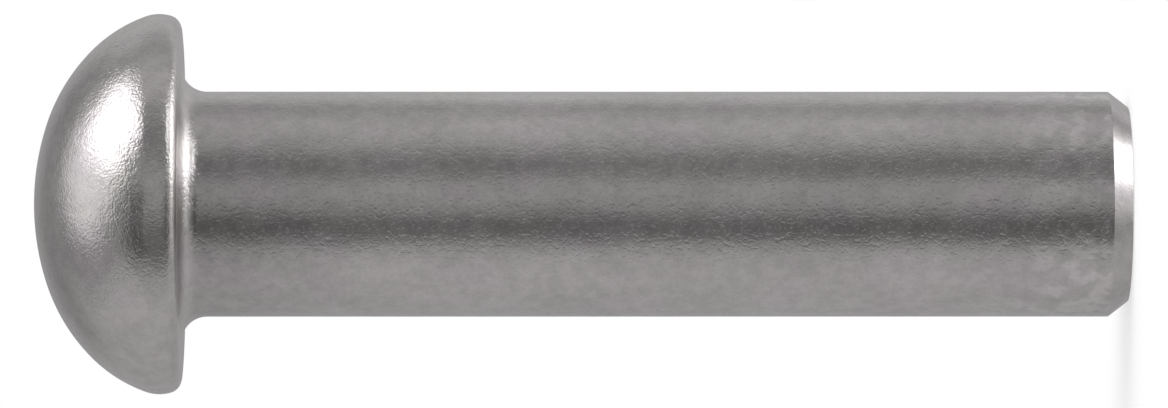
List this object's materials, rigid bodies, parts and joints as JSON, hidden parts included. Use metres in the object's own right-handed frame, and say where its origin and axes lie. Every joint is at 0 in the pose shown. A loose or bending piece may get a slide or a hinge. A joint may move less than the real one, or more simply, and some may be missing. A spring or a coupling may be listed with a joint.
{
  "type": "round head rivet",
  "caption": "Solid steel rivet with a domed round head, a plain cylindrical shank and a chamfered flat tail, for setting through a hole in two plates.",
  "frame": {"origin": "centre of the flat tail face, on the shank's axis; the rivet stands on its tail", "axes": "+Z along the axis from the tail up to the crown of the head; X and Y are equal, because the rivet is a turned shape"},
  "size_m": [0.01, 0.01, 0.029],
  "materials": {
    "steel": "satin"
  },
  "bodies": {
    "root": {"rivet": "steel"}
  },
  "joints": []
}
